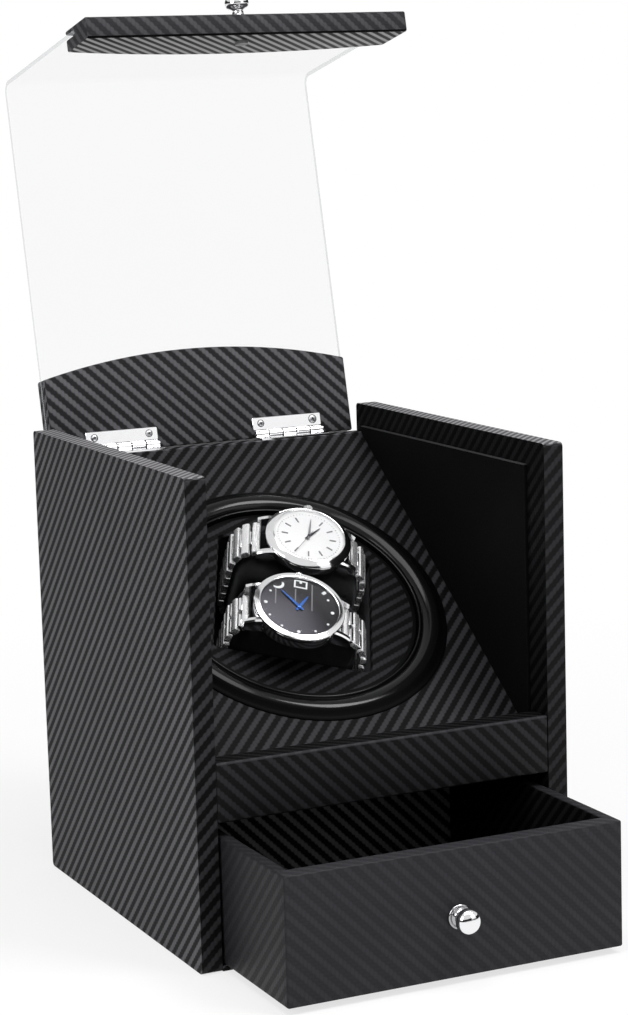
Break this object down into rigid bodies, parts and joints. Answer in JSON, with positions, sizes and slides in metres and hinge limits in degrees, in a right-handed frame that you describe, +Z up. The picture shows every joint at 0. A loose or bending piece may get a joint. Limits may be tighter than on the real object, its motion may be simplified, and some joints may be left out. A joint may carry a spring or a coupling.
{
  "type": "watch winder box",
  "caption": "Watch winder box with a sloped turntable for watches on cushions, a drawer below and a hinged lid with a bent clear window.",
  "frame": {"origin": "centre of the case's base, in the plane of its underside", "axes": "+Z up, +Y to the rear where the lid is hinged, +X to the right seen from the front"},
  "size_m": [0.18, 0.3094, 0.4128],
  "materials": {
    "wrapped_board": "black carbon-weave leatherette wrapped over board",
    "lining": "smooth black lining",
    "gloss_black": "glossy black moulding",
    "velvet": "black velvet",
    "clear": "clear acrylic",
    "crystal": "clear crystal",
    "chrome": "polished chrome",
    "steel": "brushed and polished steel",
    "brass": "turned brass",
    "white_dial": "silver white dial",
    "black_dial": "black dial",
    "blue_hands": "blued steel",
    "gear_plastic": "white acetal",
    "black_plastic": "moulded black plastic",
    "circuit_board": "green circuit board"
  },
  "bodies": {
    "case": {"left_side_panel": "wrapped_board", "right_side_panel": "wrapped_board", "back_panel": "wrapped_board", "floor_panel": "wrapped_board", "drawer_shelf": "wrapped_board", "front_rail": "wrapped_board", "display_panel": "wrapped_board", "side_linings": "lining", "trim_ring": "gloss_black", "shaft_bush": "brass", "motor_bridge": "steel", "standoffs": "brass", "gearbox_case": "black_plastic", "drive_screws": "steel", "idler_axle": "steel", "motor": "steel", "control_board": "circuit_board", "dc_jack": "black_plastic", "mode_switch": "black_plastic", "hinge_box_leaves": "chrome", "hinge_box_screws": "chrome", "hinge_pins": "steel"},
    "turntable": {"turntable_disc": "wrapped_board", "watch_cup": "velvet", "turntable_shaft": "steel", "retaining_clip": "steel", "output_gear": "gear_plastic"},
    "idler": {"idler_gear": "gear_plastic"},
    "pinion": {"motor_pinion": "brass", "motor_shaft": "steel"},
    "knob": {"mode_knob": "black_plastic"},
    "lid": {"lid_window": "clear", "lid_rear_board": "wrapped_board", "lid_front_bar": "wrapped_board", "lid_knob": "chrome", "lid_knob_screw": "steel", "hinge_lid_leaves": "chrome", "hinge_lid_screws": "chrome"},
    "drawer": {"drawer_front": "wrapped_board", "drawer_left_wall": "wrapped_board", "drawer_right_wall": "wrapped_board", "drawer_back_wall": "wrapped_board", "drawer_bottom": "wrapped_board", "drawer_knob": "chrome", "drawer_knob_screw": "steel"},
    "upper_holder": {"upper_cushion": "velvet", "light_watch_case": "steel", "light_watch_dial": "white_dial", "light_watch_hands": "steel", "light_watch_crystal": "crystal", "light_watch_crown": "steel", "light_watch_bracelet": "steel"},
    "lower_holder": {"lower_cushion": "velvet", "dark_watch_case": "steel", "dark_watch_dial": "black_dial", "dark_watch_hands": "blue_hands", "dark_watch_crystal": "crystal", "dark_watch_crown": "steel", "dark_watch_bracelet": "steel"}
  },
  "joints": [
    {"name": "lid_hinge", "type": "hinge", "parent": "case", "child": "lid", "pos_m": [0, 0.0945, 0.2013], "axis": [1, 0, 0], "range_deg": [0, 102.9]},
    {"name": "drawer_slide", "type": "slide", "parent": "case", "child": "drawer", "axis": [0, -1, 0], "range_m": [-0.0635, 0.045]},
    {"name": "turntable_spin", "type": "hinge", "parent": "case", "child": "turntable", "pos_m": [0, -0.0013, 0.13592], "axis": [0, -0.5892, 0.808], "continuous": true},
    {"name": "idler_spin", "type": "hinge", "parent": "case", "child": "idler", "pos_m": [0.02836, 0.0322, 0.09846], "axis": [0, -0.5892, 0.808], "continuous": true},
    {"name": "pinion_spin", "type": "hinge", "parent": "case", "child": "pinion", "pos_m": [0.04491, 0.03456, 0.10018], "axis": [0, -0.5892, 0.808], "continuous": true},
    {"name": "mode_knob_turn", "type": "hinge", "parent": "case", "child": "knob", "pos_m": [-0.04, 0.093, 0.092], "axis": [0, 1, 0], "range_deg": [-60, 60]},
    {"name": "upper_holder_pull", "type": "slide", "parent": "turntable", "child": "upper_holder", "axis": [0, -0.5892, 0.808], "range_m": [0, 0.033]},
    {"name": "lower_holder_pull", "type": "slide", "parent": "turntable", "child": "lower_holder", "axis": [0, -0.5892, 0.808], "range_m": [0, 0.033]}
  ],
  "couplings": [
    {"joint": "idler_spin", "follows": "turntable_spin", "ratio": -1.5714},
    {"joint": "pinion_spin", "follows": "turntable_spin", "ratio": 3.1429}
  ]
}
